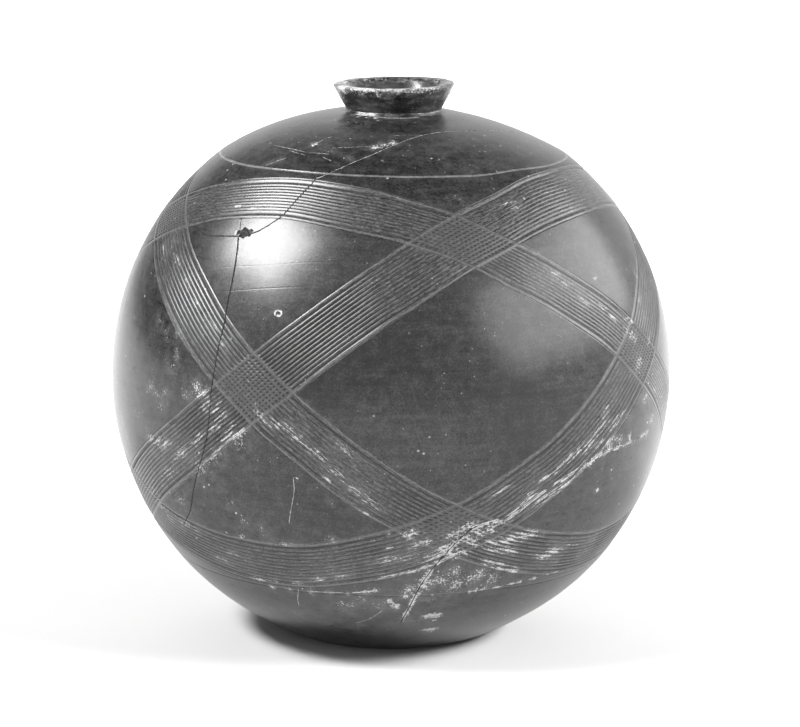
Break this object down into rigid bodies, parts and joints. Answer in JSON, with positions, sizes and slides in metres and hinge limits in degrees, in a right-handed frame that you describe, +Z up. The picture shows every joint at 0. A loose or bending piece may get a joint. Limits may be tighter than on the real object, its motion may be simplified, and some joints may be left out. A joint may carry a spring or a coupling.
{
  "type": "globular flask",
  "caption": "Handleless globular flask of burnished black ware with a short flared collar, interlaced combed bands and a flat resting face, for storing liquid or grain.",
  "frame": {"origin": "middle of the flat resting face, on the floor", "axes": "+Z up along the vessel's axis, -Y towards the viewer of the picture, +X to the viewer's right"},
  "size_m": [0.24, 0.24, 0.2371],
  "materials": {
    "burnished_ware": "burnished",
    "luting_clay": "smoothed",
    "worn_collar": "burnished, worn at the lip"
  },
  "bodies": {
    "root": {"base_bowl": "burnished_ware", "lower_belly": "burnished_ware", "upper_belly": "burnished_ware", "shoulder_cap": "burnished_ware", "luting_fillet": "luting_clay", "neck_collar": "worn_collar"}
  },
  "joints": []
}
